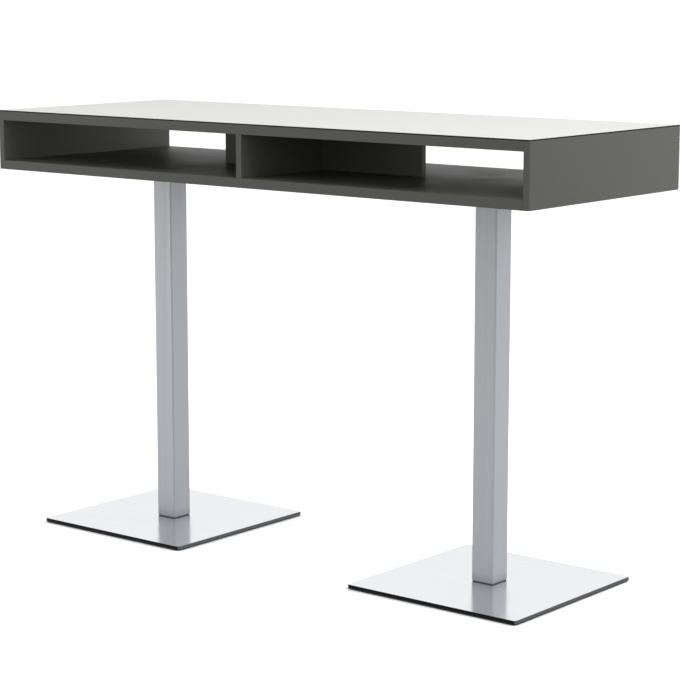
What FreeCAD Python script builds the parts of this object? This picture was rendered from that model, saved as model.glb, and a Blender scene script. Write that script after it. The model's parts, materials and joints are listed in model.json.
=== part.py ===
"""Standing meeting table: an open shelf box carried by two steel pedestals.

The table is drawn at its real size in millimetres. X runs along its length, Y from its
front to its back and Z up. The origin lies on the floor under the middle of the table.
"""

import FreeCAD, Part

import math
import os
from types import SimpleNamespace

import Sketcher

PARTS_FOLDER = "parts"
SHEET = "sizes"
NEAR = 0.01

SIZES = (
    # The box
    ("table_length", 1600, "overall length of the box"),
    ("table_depth", 600, "overall depth of the box"),
    ("table_height", 1060, "floor to the top of the box"),
    ("sheet_thickness", 3, "compact laminate sheet on the top"),
    ("sheet_edge_break", 0.5, "chamfer on the rim of the sheet"),
    ("board_thickness", 22, "top board and bottom board"),
    ("shelf_opening", 100, "clear height between the two boards"),
    ("end_thickness", 16, "end panels"),
    ("divider_thickness", 16, "upright between the two compartments"),
    ("spine_thickness", 16, "upright half way back in each compartment"),
    ("spine_length", 295, "spine panel, from the divider outwards"),
    ("edge_break", 0.6, "chamfer on the lacquered edges"),
    # Dowelled joints of the box
    ("dowel_diameter", 8, "beech dowel"),
    ("dowel_length", 30, "beech dowel"),
    ("dowel_nose", 0.8, "chamfer on a dowel's ends"),
    ("dowel_cover", 6, "material left under a dowel hole in a panel's face"),
    ("dowel_end_gap", 1, "space for glue at each end of a dowel"),
    ("glue_gap", 0.05, "glue line round a dowel"),
    ("dowel_margin", 60, "first dowel to the front edge or the rear edge"),
    ("spine_dowel_margin", 40, "first dowel to the end of a spine panel"),
    # Pedestals
    ("column_inset", 300, "end of the box to the axis of the column"),
    ("column_width", 60, "square steel tube"),
    ("column_wall", 2.5, "wall of the tube"),
    ("column_corner", 4, "outer corner radius of the tube"),
    ("head_width", 180, "square plate on top of the column"),
    ("head_thickness", 6, "square plate on top of the column"),
    ("head_corner", 10, "corner radius of the head plate"),
    ("foot_thickness", 12, "tapped block welded in the foot of the tube"),
    ("weld_gap", 0.1, "block to the tube's inner wall"),
    ("seal_thickness", 2.5, "rubber seal between the tube and the base plate"),
    ("seal_inset", 1.5, "seal set back from the tube's face"),
    ("base_width", 470, "square base plate"),
    ("base_thickness", 8, "square base plate"),
    ("base_corner", 8, "corner radius of the base plate"),
    ("base_edge_break", 0.8, "chamfer round the base plate"),
    # Countersunk screws through the base plate
    ("base_screw_diameter", 8, "thread"),
    ("base_screw_head", 16, "countersunk head, 90 degrees"),
    ("base_screw_length", 20, "overall, with its head"),
    ("base_screw_rim", 0.4, "straight rim of the head"),
    ("base_screw_recess", 0.3, "head below the underside of the plate"),
    ("base_screw_margin", 12.5, "axis to the inner wall of the tube"),
    ("base_screw_seat_gap", 0.15, "round the head in its countersink"),
    ("base_screw_hole_gap", 0.5, "round the shank in the plate and the seal"),
    ("base_screw_key", 5, "hexagon socket, across its flats"),
    ("base_screw_key_depth", 2.5, "hexagon socket"),
    # Button-head screws and threaded inserts under the box
    ("head_screw_diameter", 6, "thread"),
    ("head_screw_head", 12, "button head"),
    ("head_screw_head_height", 3.3, "button head"),
    ("head_screw_length", 18, "under the head"),
    ("head_screw_margin", 15, "axis to the edge of the head plate"),
    ("head_screw_hole_gap", 0.3, "round the shank in the head plate"),
    ("head_screw_key", 4, "hexagon socket, across its flats"),
    ("head_screw_key_depth", 2, "hexagon socket"),
    ("insert_wall", 2, "wall of the threaded insert"),
    ("insert_length", 14, "threaded insert"),
    ("insert_end_gap", 1, "hole deeper than the insert"),
    ("screw_nose", 0.8, "chamfer on the end of a thread"),
    ("thread_gap", 0.05, "between a thread and its nut thread"),
    # Levelling glides
    ("glide_margin", 35, "edge of the base plate to the axis of a glide"),
    ("pad_diameter", 32, "nylon pad"),
    ("pad_edge", 0.6, "chamfer on the pad's lower rim"),
    ("pad_floor", 1.2, "nylon under the stud's flange"),
    ("pad_lip", 0.45, "nylon that snaps over the flange"),
    ("pad_lip_cover", 0.5, "lip's reach over the flange"),
    ("pad_key_hole", 6, "hole for the key under the stud"),
    ("pad_top_gap", 0.2, "pad to the plate, screwed right in"),
    ("flange_diameter", 14, "flange on the stud"),
    ("flange_thickness", 1, "flange on the stud"),
    ("flange_gap", 0.08, "running clearance round the flange"),
    ("stud_diameter", 8, "thread"),
    ("stud_end_gap", 0.5, "top of the stud to the end of its hole"),
    ("tapped_floor", 2, "steel left over a blind tapped hole"),
    ("stud_key", 4, "hexagon socket, across its flats"),
    ("stud_key_depth", 4, "hexagon socket"),
)

DOWEL_COUNT = 5
SPINE_DOWEL_COUNT = 3
SIDES = (("left", -1), ("right", 1))
GLIDE_ROWS = (("front", -1), ("rear", 1))
GLIDE_COLUMNS = (("outer", 1), ("inner", -1))

# Crown of a button head, from its middle to its rim, as shares of its radius and its height
BUTTON_CROWN = ((0, 1), (0.6, 1), (0.88, 0.7), (1, 0.25))

# Sketch geometry numbers that FreeCAD gives to the origin and to points of a curve
ORIGIN = -1
START, END, CENTRE = 1, 2, 3


class Size:
    """A length known both as a number and as the sheet formula that gives it."""

    def __init__(self, value, formula):
        self.value = float(value)
        self.formula = formula

    def __add__(self, other):
        other = as_size(other)
        return Size(self.value + other.value, f"({self.formula} + {other.formula})")

    def __sub__(self, other):
        other = as_size(other)
        return Size(self.value - other.value, f"({self.formula} - {other.formula})")

    def __mul__(self, factor):
        return Size(self.value * factor, f"({self.formula} * {factor:.6f})")

    def __truediv__(self, divisor):
        return Size(self.value / divisor, f"({self.formula} / {divisor:.6f})")

    def __neg__(self):
        return self * -1


def as_size(item):
    return item if isinstance(item, Size) else Size(item, str(item))


ZERO = as_size(0)

document = FreeCAD.newDocument("standing_meeting_table")


def build_sheet():
    """Writes the driving dimensions to the sheet and returns them as Size values."""
    sheet = document.addObject("Spreadsheet::Sheet", SHEET)
    named = {}
    for row, (alias, value, meaning) in enumerate(SIZES, start=1):
        sheet.set(f"A{row}", str(value))
        sheet.setAlias(f"A{row}", alias)
        sheet.set(f"B{row}", meaning)
        named[alias] = Size(value, f"{SHEET}.{alias}")
    document.recompute()
    return SimpleNamespace(**named)


dims = build_sheet()

# Heights above the floor
flange_bottom = dims.pad_floor + dims.flange_gap
flange_top = flange_bottom + dims.flange_thickness
pad_pocket_top = flange_top + dims.flange_gap
pad_top = pad_pocket_top + dims.pad_lip
base_bottom = pad_top + dims.pad_top_gap
base_top = base_bottom + dims.base_thickness
column_bottom = base_top + dims.seal_thickness
box_top = dims.table_height - dims.sheet_thickness
bay_top = box_top - dims.board_thickness
bay_bottom = bay_top - dims.shelf_opening
box_bottom = bay_bottom - dims.board_thickness
head_bottom = box_bottom - dims.head_thickness

# Sizes and places that follow from the sheet
board_length = dims.table_length - dims.end_thickness * 2
column_length = head_bottom - column_bottom
column_reach = dims.table_length / 2 - dims.column_inset
column_bore = dims.column_width - dims.column_wall * 2
column_bore_corner = dims.column_corner - dims.column_wall
base_screw_reach = column_bore / 2 - dims.base_screw_margin
head_screw_reach = dims.head_width / 2 - dims.head_screw_margin
glide_reach = dims.base_width / 2 - dims.glide_margin
tapped_depth = dims.base_thickness - dims.tapped_floor
insert_bore = dims.head_screw_diameter + dims.thread_gap * 2
insert_diameter = insert_bore + dims.insert_wall * 2
panel_hole_depth = dims.end_thickness - dims.dowel_cover
board_hole_depth = dims.board_thickness - dims.dowel_cover
dowel_room = dims.dowel_length + dims.dowel_end_gap * 2
dowel_hole = dims.dowel_diameter + dims.glue_gap * 2


# Drawing helpers

def bind(target, name, size):
    """Ties a property of a document object to its formula on the sheet."""
    target.setExpression(name, size.formula)


def new_body(label, x=ZERO, y=ZERO, z=ZERO):
    """Starts a piece of the table, placed by its own local origin."""
    body = document.addObject("PartDesign::Body", label)
    body.Label = label
    for axis, size in zip("xyz", (x, y, z)):
        bind(body, f"Placement.Base.{axis}", size)
    return body


def origin_feature(body, role):
    return next(item for item in body.Origin.OriginFeatures if item.Role == role)


def new_sketch(body, role="XY_Plane", lift=ZERO, aside=ZERO):
    """Starts a sketch on an origin plane, lifted along its normal and moved along its own x."""
    sketch = body.newObject("Sketcher::SketchObject", f"{body.Name}_sketch")
    sketch.AttachmentSupport = [(origin_feature(body, role), "")]
    sketch.MapMode = "FlatFace"
    bind(sketch, "AttachmentOffset.Base.x", aside)
    bind(sketch, "AttachmentOffset.Base.z", lift)
    return sketch


def hold_point(sketch, curve, point, x, y):
    """Dimensions one point of a curve from the sketch's origin."""
    for kind, size in (("DistanceX", x), ("DistanceY", y)):
        constraint = Sketcher.Constraint(kind, ORIGIN, START, curve, point, size.value)
        number = sketch.addConstraint(constraint)
        bind(sketch, f"Constraints[{number}]", size)


def draw_outline(sketch, points):
    """Draws a closed outline of straight lines through the given corners."""
    corners = [FreeCAD.Vector(x.value, y.value, 0) for x, y in points]
    lines = []
    for corner, following in zip(corners, corners[1:] + corners[:1]):
        lines.append(sketch.addGeometry(Part.LineSegment(corner, following)))
    for line, following in zip(lines, lines[1:] + lines[:1]):
        sketch.addConstraint(Sketcher.Constraint("Coincident", line, END, following, START))
    for line, (x, y) in zip(lines, points):
        hold_point(sketch, line, START, x, y)


def draw_rectangle(sketch, low, high):
    draw_outline(sketch, [low, (high[0], low[1]), high, (low[0], high[1])])


def draw_square(sketch, side):
    half = side / 2
    draw_rectangle(sketch, (-half, -half), (half, half))


def draw_circles(sketch, centres, diameter):
    """Draws equal circles at the given centres."""
    for x, y in centres:
        middle = FreeCAD.Vector(x.value, y.value, 0)
        circle = Part.Circle(middle, FreeCAD.Vector(0, 0, 1), diameter.value / 2)
        number = sketch.addGeometry(circle)
        hold_point(sketch, number, CENTRE, x, y)
        size = sketch.addConstraint(Sketcher.Constraint("Diameter", number, diameter.value))
        bind(sketch, f"Constraints[{size}]", diameter)


def draw_hexagon(sketch, across_flats, x=ZERO, y=ZERO):
    """Draws a hexagon of the given key size round a centre."""
    corner_reach = across_flats / (2 * math.cos(math.pi / 6))
    turns = [math.pi / 3 * step for step in range(6)]
    points = [(x + corner_reach * math.cos(turn), y + corner_reach * math.sin(turn)) for turn in turns]
    draw_outline(sketch, points)


def pad(body, sketch, length):
    """Raises the sketch along its normal."""
    feature = body.newObject("PartDesign::Pad", f"{body.Name}_pad")
    feature.Profile = sketch
    bind(feature, "Length", length)
    return feature


def pocket(body, sketch, depth, along_normal=False):
    """Cuts the sketch into the piece, against its normal unless along_normal is set."""
    feature = body.newObject("PartDesign::Pocket", f"{body.Name}_pocket")
    feature.Profile = sketch
    feature.Reversed = along_normal
    bind(feature, "Length", depth)
    return feature


def revolve(body, sketch):
    """Turns the sketch once round its own vertical axis."""
    feature = body.newObject("PartDesign::Revolution", f"{body.Name}_turned")
    feature.Profile = sketch
    feature.ReferenceAxis = (sketch, ["V_Axis"])
    feature.Angle = 360
    return feature


def repeat_round_axis(body, features, count):
    """Repeats features evenly round the body's own Z axis."""
    pattern = body.newObject("PartDesign::PolarPattern", f"{body.Name}_pattern")
    pattern.Originals = features
    pattern.Axis = (origin_feature(body, "Z_Axis"), [""])
    pattern.Angle = 360
    pattern.Occurrences = count
    body.Tip = pattern
    return pattern


def dress_edges(body, kind, name, size, wanted):
    """Adds a fillet or a chamfer to the edges whose bounding box passes the wanted test."""
    document.recompute()
    base = body.Tip
    names = [f"Edge{number}" for number, edge in enumerate(base.Shape.Edges, start=1)
             if wanted(edge.BoundBox)]
    feature = body.newObject(f"PartDesign::{kind}", f"{body.Name}_{kind.lower()}")
    feature.Base = (base, names)
    bind(feature, name, size)
    return feature


def fillet(body, radius, wanted):
    return dress_edges(body, "Fillet", "Radius", radius, wanted)


def chamfer(body, size, wanted):
    return dress_edges(body, "Chamfer", "Size", size, wanted)


def upright(box):
    """Tells whether an edge with this bounding box stands upright."""
    return box.XLength < NEAR and box.YLength < NEAR


def level(box):
    """Tells whether an edge with this bounding box lies level."""
    return box.ZLength < NEAR


def is_at(place, size):
    """Tells whether a coordinate lies at this size, on either side of zero."""
    return abs(abs(place) - size.value) < NEAR


def upright_square(side):
    """Returns a test for the four upright edges of a square of this side."""
    half = side / 2
    return lambda box: upright(box) and is_at(box.XMin, half) and is_at(box.YMin, half)


def spread(count, span):
    """Returns evenly spaced places over a span that is centred on zero."""
    return [span * (step / (count - 1) - 0.5) for step in range(count)]


def square_corners(reach):
    return [(reach * x, reach * y) for x in (-1, 1) for y in (-1, 1)]


# The box

dowel_rows = spread(DOWEL_COUNT, dims.table_depth - dims.dowel_margin * 2)
spine_dowel_rows = spread(SPINE_DOWEL_COUNT, dims.spine_length - dims.spine_dowel_margin * 2)
spine_middle = dims.divider_thickness / 2 + dims.spine_length / 2
divider_dowels = [(ZERO, row) for row in dowel_rows]
spine_dowels = {
    name: [(spine_middle * side + row, ZERO) for row in spine_dowel_rows] for name, side in SIDES
}
shelf_dowels = divider_dowels + spine_dowels["left"] + spine_dowels["right"]
head_screw_places = square_corners(head_screw_reach) + [
    (head_screw_reach, ZERO),
    (-head_screw_reach, ZERO),
    (ZERO, head_screw_reach),
    (ZERO, -head_screw_reach),
]


def make_top_sheet():
    body = new_body("top_sheet", z=box_top)
    half_length = dims.table_length / 2
    half_depth = dims.table_depth / 2
    outline = new_sketch(body)
    draw_rectangle(outline, (-half_length, -half_depth), (half_length, half_depth))
    pad(body, outline, dims.sheet_thickness)
    chamfer(body, dims.sheet_edge_break, lambda box: level(box) and is_at(box.ZMin, dims.sheet_thickness))


def drill_board_ends(body):
    """Drills the dowel holes in both ends of a board."""
    centres = [(row, dims.board_thickness / 2) for row in dowel_rows]
    for _, side in SIDES:
        holes = new_sketch(body, "YZ_Plane", lift=board_length / 2 * side)
        draw_circles(holes, centres, dowel_hole)
        pocket(body, holes, dowel_room - panel_hole_depth, along_normal=side < 0)


def make_board(label, height, shelf_face, shelf_face_up):
    """Makes a board of the box, with dowel holes in its ends and in the face to the shelf."""
    body = new_body(label, z=height)
    half_length = board_length / 2
    half_depth = dims.table_depth / 2
    outline = new_sketch(body)
    draw_rectangle(outline, (-half_length, -half_depth), (half_length, half_depth))
    pad(body, outline, dims.board_thickness)
    drill_board_ends(body)
    holes = new_sketch(body, lift=shelf_face)
    draw_circles(holes, shelf_dowels, dowel_hole)
    pocket(body, holes, board_hole_depth, along_normal=not shelf_face_up)
    return body


def make_boards():
    """Makes the two long boards, with holes for the inserts under the lower one."""
    def long_edge(box):
        return level(box) and box.YLength < NEAR and is_at(box.YMin, dims.table_depth / 2)

    top_board = make_board("top_board", bay_top, ZERO, shelf_face_up=False)
    chamfer(top_board, dims.edge_break, lambda box: long_edge(box) and is_at(box.ZMin, ZERO))
    bottom_board = make_board("bottom_board", box_bottom, dims.board_thickness, shelf_face_up=True)
    chamfer(bottom_board, dims.edge_break, long_edge)
    holes = new_sketch(bottom_board)
    centres = [(column_reach * side + x, y) for _, side in SIDES for x, y in head_screw_places]
    draw_circles(holes, centres, insert_diameter + dims.glue_gap * 2)
    pocket(bottom_board, holes, dims.insert_length + dims.insert_end_gap, along_normal=True)


def make_end_panel(name, side):
    """Makes an end panel that covers the ends of both boards."""
    left = side < 0
    body = new_body(f"{name}_end_panel", z=box_bottom,
                    x=-dims.table_length / 2 if left else dims.table_length / 2 - dims.end_thickness)
    half_depth = dims.table_depth / 2
    height = box_top - box_bottom
    outline = new_sketch(body, "YZ_Plane")
    draw_rectangle(outline, (-half_depth, ZERO), (half_depth, height))
    pad(body, outline, dims.end_thickness)
    upper_row = bay_top - box_bottom + dims.board_thickness / 2
    lower_row = dims.board_thickness / 2
    holes = new_sketch(body, "YZ_Plane", lift=dims.end_thickness if left else ZERO)
    draw_circles(holes, [(row, z) for z in (lower_row, upper_row) for row in dowel_rows], dowel_hole)
    pocket(body, holes, panel_hole_depth, along_normal=not left)
    outside = ZERO if left else dims.end_thickness

    def shown(box):
        if level(box) and is_at(box.ZMin, height):
            return False
        front_or_rear = box.YLength < NEAR and is_at(box.YMin, half_depth)
        lower_outside = level(box) and box.XLength < NEAR and is_at(box.XMin, outside)
        return front_or_rear or lower_outside

    chamfer(body, dims.edge_break, shown)


def make_upright(label, x_low, x_high, half_depth, dowels):
    """Makes a panel that stands between the boards, with dowel holes in both of its edges."""
    body = new_body(label, z=bay_bottom)
    outline = new_sketch(body)
    draw_rectangle(outline, (x_low, -half_depth), (x_high, half_depth))
    pad(body, outline, dims.shelf_opening)
    for lift, along_normal in ((ZERO, True), (dims.shelf_opening, False)):
        holes = new_sketch(body, lift=lift)
        draw_circles(holes, dowels, dowel_hole)
        pocket(body, holes, dowel_room - board_hole_depth, along_normal)
    return body


def make_uprights():
    """Makes the centre divider and the spine panel on each side of it."""
    half_divider = dims.divider_thickness / 2
    half_depth = dims.table_depth / 2
    divider = make_upright("centre_divider", -half_divider, half_divider, half_depth, divider_dowels)
    chamfer(divider, dims.edge_break, upright)
    reach = half_divider + dims.spine_length
    half_spine = dims.spine_thickness / 2
    left = make_upright("left_spine_panel", -reach, -half_divider, half_spine, spine_dowels["left"])
    right = make_upright("right_spine_panel", half_divider, reach, half_spine, spine_dowels["right"])
    for spine in (left, right):
        chamfer(spine, dims.edge_break, lambda box: upright(box) and is_at(box.XMin, reach))


def nose_dowels(body):
    """Chamfers the ends of every dowel in the group."""
    def rim(box):
        spans = (box.XLength, box.YLength, box.ZLength)
        return max(spans) < dims.dowel_diameter.value + NEAR and min(spans) < NEAR

    chamfer(body, dims.dowel_nose, rim)


def make_end_dowels(name, side):
    """Makes the dowels that hold one end panel to both boards."""
    inside = dims.dowel_end_gap - panel_hole_depth
    start = inside if side < 0 else -inside - dims.dowel_length
    body = new_body(f"{name}_end_dowels", x=board_length / 2 * side + start)
    outline = new_sketch(body, "YZ_Plane")
    heights = (box_bottom + dims.board_thickness / 2, bay_top + dims.board_thickness / 2)
    draw_circles(outline, [(row, z) for z in heights for row in dowel_rows], dims.dowel_diameter)
    pad(body, outline, dims.dowel_length)
    nose_dowels(body)


def make_upright_dowels(label, centres):
    """Makes the dowels between an upright and both boards."""
    body = new_body(label)
    inside = board_hole_depth - dims.dowel_end_gap
    for height in (bay_bottom - inside, bay_top + inside - dims.dowel_length):
        outline = new_sketch(body, lift=height)
        draw_circles(outline, centres, dims.dowel_diameter)
        pad(body, outline, dims.dowel_length)
    nose_dowels(body)


# Pedestals

def make_column(name, x):
    body = new_body(f"{name}_column", x=x, z=column_bottom)
    outline = new_sketch(body)
    draw_square(outline, dims.column_width)
    draw_square(outline, column_bore)
    pad(body, outline, column_length)
    fillet(body, dims.column_corner, upright_square(dims.column_width))
    fillet(body, column_bore_corner, upright_square(column_bore))


def make_head_plate(name, x):
    body = new_body(f"{name}_head_plate", x=x, z=head_bottom)
    outline = new_sketch(body)
    draw_square(outline, dims.head_width)
    draw_circles(outline, head_screw_places, dims.head_screw_diameter + dims.head_screw_hole_gap * 2)
    pad(body, outline, dims.head_thickness)
    fillet(body, dims.head_corner, upright_square(dims.head_width))


def make_head_screws(name, x):
    """Makes the button-head screws from below the head plate into the inserts."""
    body = new_body(f"{name}_head_screws", x=x, z=head_bottom)
    head = dims.head_screw_head / 2
    height = dims.head_screw_head_height
    thread = dims.head_screw_diameter / 2
    crown = [(head * across, -height * down) for across, down in BUTTON_CROWN]
    shank = [(head, ZERO), (thread, ZERO), (thread, dims.head_screw_length - dims.screw_nose),
             (thread - dims.screw_nose, dims.head_screw_length), (ZERO, dims.head_screw_length)]
    features = []
    for y in (-head_screw_reach, ZERO):
        profile = new_sketch(body, "XZ_Plane", lift=-y, aside=head_screw_reach)
        draw_outline(profile, crown + shank)
        features.append(revolve(body, profile))
        socket = new_sketch(body, lift=-height)
        draw_hexagon(socket, dims.head_screw_key, head_screw_reach, y)
        features.append(pocket(body, socket, dims.head_screw_key_depth, along_normal=True))
    repeat_round_axis(body, features, 4)


def make_inserts(name, x):
    """Makes the threaded sleeves in the bottom board."""
    body = new_body(f"{name}_inserts", x=x, z=box_bottom)
    outline = new_sketch(body)
    draw_circles(outline, head_screw_places, insert_diameter)
    draw_circles(outline, head_screw_places, insert_bore)
    pad(body, outline, dims.insert_length)


def make_foot_block(name, x):
    body = new_body(f"{name}_foot_block", x=x, z=column_bottom)
    side = column_bore - dims.weld_gap * 2
    outline = new_sketch(body)
    draw_square(outline, side)
    tapped_hole = dims.base_screw_diameter + dims.thread_gap * 2
    draw_circles(outline, square_corners(base_screw_reach), tapped_hole)
    pad(body, outline, dims.foot_thickness)
    fillet(body, column_bore_corner, upright_square(side))


def make_seal(name, x):
    body = new_body(f"{name}_foot_seal", x=x, z=base_top)
    side = dims.column_width - dims.seal_inset * 2
    outline = new_sketch(body)
    draw_square(outline, side)
    hole = dims.base_screw_diameter + dims.base_screw_hole_gap * 2
    draw_circles(outline, square_corners(base_screw_reach), hole)
    pad(body, outline, dims.seal_thickness)
    fillet(body, dims.column_corner - dims.seal_inset, upright_square(side))


def make_base_plate(name, x):
    """Makes the base plate, countersunk from below and tapped for its glides."""
    body = new_body(f"{name}_base_plate", x=x, z=base_bottom)
    outline = new_sketch(body)
    draw_square(outline, dims.base_width)
    pad(body, outline, dims.base_thickness)
    fillet(body, dims.base_corner, upright_square(dims.base_width))
    chamfer(body, dims.base_edge_break, level)

    screws = new_sketch(body)
    draw_circles(screws, square_corners(base_screw_reach), dims.base_screw_diameter)
    document.recompute()
    hole = body.newObject("PartDesign::Hole", f"{body.Name}_screw_holes")
    hole.Profile = screws
    hole.Reversed = True
    hole.DepthType = "ThroughAll"
    hole.HoleCutType = "Countersink"
    hole.HoleCutCustomValues = True
    hole.HoleCutCountersinkAngle = 90
    bind(hole, "Diameter", dims.base_screw_diameter + dims.base_screw_hole_gap * 2)
    seat_depth = dims.base_screw_recess + dims.base_screw_rim
    mouth = dims.base_screw_head / 2 + seat_depth + dims.base_screw_seat_gap
    bind(hole, "HoleCutDiameter", mouth * 2)

    tapped = new_sketch(body)
    draw_circles(tapped, square_corners(glide_reach), dims.stud_diameter + dims.thread_gap * 2)
    pocket(body, tapped, tapped_depth, along_normal=True)


def make_base_screws(name, x):
    """Makes the countersunk screws from below the base plate into the foot block."""
    body = new_body(f"{name}_base_screws", x=x, z=base_bottom + dims.base_screw_recess)
    head = dims.base_screw_head / 2
    thread = dims.base_screw_diameter / 2
    length = dims.base_screw_length
    profile = new_sketch(body, "XZ_Plane", lift=base_screw_reach, aside=base_screw_reach)
    draw_outline(profile, [
        (ZERO, ZERO),
        (head, ZERO),
        (head, dims.base_screw_rim),
        (thread, dims.base_screw_rim + head - thread),
        (thread, length - dims.screw_nose),
        (thread - dims.screw_nose, length),
        (ZERO, length),
    ])
    screw = revolve(body, profile)
    socket = new_sketch(body)
    draw_hexagon(socket, dims.base_screw_key, base_screw_reach, -base_screw_reach)
    key = pocket(body, socket, dims.base_screw_key_depth, along_normal=True)
    repeat_round_axis(body, [screw, key], 4)


# Levelling glides

def make_glide_pad(label, x, y):
    """Makes the nylon pad that stands on the floor and holds the stud's flange."""
    body = new_body(label, x, y)
    rim = dims.pad_diameter / 2
    key_hole = dims.pad_key_hole / 2
    pocket_wall = dims.flange_diameter / 2 + dims.flange_gap
    lip = dims.flange_diameter / 2 - dims.pad_lip_cover
    profile = new_sketch(body, "XZ_Plane")
    draw_outline(profile, [
        (key_hole, ZERO),
        (rim - dims.pad_edge, ZERO),
        (rim, dims.pad_edge),
        (rim, pad_top),
        (lip, pad_top),
        (lip, pad_pocket_top),
        (pocket_wall, pad_pocket_top),
        (pocket_wall, dims.pad_floor),
        (key_hole, dims.pad_floor),
    ])
    revolve(body, profile)


def make_glide_stud(label, x, y):
    """Makes the threaded stud that turns in its pad and in the base plate."""
    body = new_body(label, x, y)
    flange = dims.flange_diameter / 2
    thread = dims.stud_diameter / 2
    top = base_bottom + tapped_depth - dims.stud_end_gap
    profile = new_sketch(body, "XZ_Plane")
    draw_outline(profile, [
        (ZERO, flange_bottom),
        (flange, flange_bottom),
        (flange, flange_top),
        (thread, flange_top),
        (thread, top - dims.screw_nose),
        (thread - dims.screw_nose, top),
        (ZERO, top),
    ])
    revolve(body, profile)
    socket = new_sketch(body, lift=flange_bottom)
    draw_hexagon(socket, dims.stud_key)
    pocket(body, socket, dims.stud_key_depth, along_normal=True)


def make_pedestal(name, side):
    """Makes one column with its plates, fasteners and glides."""
    x = column_reach * side
    make_column(name, x)
    make_head_plate(name, x)
    make_head_screws(name, x)
    make_inserts(name, x)
    make_foot_block(name, x)
    make_seal(name, x)
    make_base_plate(name, x)
    make_base_screws(name, x)
    for row, y_side in GLIDE_ROWS:
        for place, outwards in GLIDE_COLUMNS:
            glide_x = x + glide_reach * (side * outwards)
            glide_y = glide_reach * y_side
            make_glide_pad(f"{name}_{row}_{place}_glide_pad", glide_x, glide_y)
            make_glide_stud(f"{name}_{row}_{place}_glide_stud", glide_x, glide_y)


def check_document():
    """Stops if any object of the document failed or any piece has a bad shape."""
    for item in document.Objects:
        if "Invalid" in item.State or "Error" in item.State:
            raise RuntimeError(f"{item.Label} failed: {item.State}")
    bodies = [item for item in document.Objects if item.TypeId == "PartDesign::Body"]
    for body in bodies:
        if body.Shape.isNull() or not body.Shape.isValid() or not body.Shape.Solids:
            raise RuntimeError(f"{body.Label} has a bad shape")
    return bodies


def main():
    make_top_sheet()
    make_boards()
    for name, side in SIDES:
        make_end_panel(name, side)
    make_uprights()
    for name, side in SIDES:
        make_end_dowels(name, side)
        make_upright_dowels(f"{name}_spine_dowels", spine_dowels[name])
    make_upright_dowels("divider_dowels", divider_dowels)
    for name, side in SIDES:
        make_pedestal(name, side)

    document.recompute()
    bodies = check_document()
    os.makedirs(PARTS_FOLDER, exist_ok=True)
    for body in bodies:
        body.Shape.exportStep(os.path.join(PARTS_FOLDER, f"{body.Label}.step"))
        box = body.Shape.BoundBox
        print(f"{body.Label}: {len(body.Shape.Solids)} solids, {box.XLength:.1f} x {box.YLength:.1f} x "
              f"{box.ZLength:.1f} mm, {body.Shape.Volume / 1000:.1f} cm3")


main()
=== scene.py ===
"""Looks of the standing meeting table, dressed round its packed construction model.

The table is a shallow open shelf box in grey lacquer under a pale laminate sheet. Two square
silver columns carry it on ground steel base plates, and each plate stands on four glides.
Lengths are in metres unless a name ends in _mm, and angles in radians unless a name ends in
_degrees. +X runs along the table, +Y from its front to its back and +Z up.
"""

import json
import logging
import math
from collections.abc import Callable, Iterator
from contextlib import contextmanager
from dataclasses import dataclass, field
from enum import Enum
from typing import Any

import bmesh
import bpy
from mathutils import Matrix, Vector

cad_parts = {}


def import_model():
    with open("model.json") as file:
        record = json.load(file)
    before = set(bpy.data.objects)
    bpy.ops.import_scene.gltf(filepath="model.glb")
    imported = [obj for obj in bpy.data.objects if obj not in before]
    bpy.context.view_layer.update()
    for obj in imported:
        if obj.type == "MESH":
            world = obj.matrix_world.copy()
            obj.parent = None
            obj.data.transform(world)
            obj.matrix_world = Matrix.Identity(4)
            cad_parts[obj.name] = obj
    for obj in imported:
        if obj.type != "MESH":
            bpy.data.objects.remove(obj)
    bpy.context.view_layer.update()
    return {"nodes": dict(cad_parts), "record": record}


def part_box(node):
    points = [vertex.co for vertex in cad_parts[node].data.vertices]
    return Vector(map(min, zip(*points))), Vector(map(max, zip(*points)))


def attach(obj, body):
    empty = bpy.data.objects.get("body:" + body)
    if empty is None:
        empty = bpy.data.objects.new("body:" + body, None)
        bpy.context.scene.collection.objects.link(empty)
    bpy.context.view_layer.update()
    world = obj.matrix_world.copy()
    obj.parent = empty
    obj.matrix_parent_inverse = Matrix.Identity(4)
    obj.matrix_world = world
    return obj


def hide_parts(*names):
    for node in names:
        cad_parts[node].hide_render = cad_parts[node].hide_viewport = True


MM = 0.001
# Points, heights and lengths that differ by less than this count as the same
NEAR = 1e-5

# Nearly all values of a noise texture lie between these two
NOISE_LOW = 0.3
NOISE_HIGH = 0.7

# Sockets of the Mix, Math and Mix Shader nodes, which go by number because their names repeat
FACTOR, NUMBER_A, NUMBER_B, COLOUR_A, COLOUR_B = 0, 2, 3, 6, 7
MIXED_NUMBER, MIXED_COLOUR = 0, 2
TERM_A, TERM_B = 0, 1
SHADER_A, SHADER_B = 1, 2

log = logging.getLogger("meeting_table")


# Colours and nodes

def linear(hex_colour: str) -> tuple[float, float, float, float]:
    """Turns an sRGB hex colour into linear light, by the sRGB standard's curve.

    Args:
        hex_colour: Six hex digits with a leading hash sign.

    Returns:
        Red, green, blue and a full alpha.
    """
    shares = [int(hex_colour[start:start + 2], 16) / 255 for start in (1, 3, 5)]
    red, green, blue = (
        share / 12.92 if share <= 0.04045 else ((share + 0.055) / 1.055) ** 2.4 for share in shares
    )
    return red, green, blue, 1.0


def per_metre(size_mm: float) -> float:
    """Gives the texture scale at which one cell of a pattern measures this many millimetres."""
    return 1 / (size_mm * MM)


def stretched(x_mm: float, y_mm: float, z_mm: float) -> Vector:
    """Gives the mapping scale for a pattern whose cells measure this much along each axis."""
    return Vector((per_metre(x_mm), per_metre(y_mm), per_metre(z_mm)))


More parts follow.
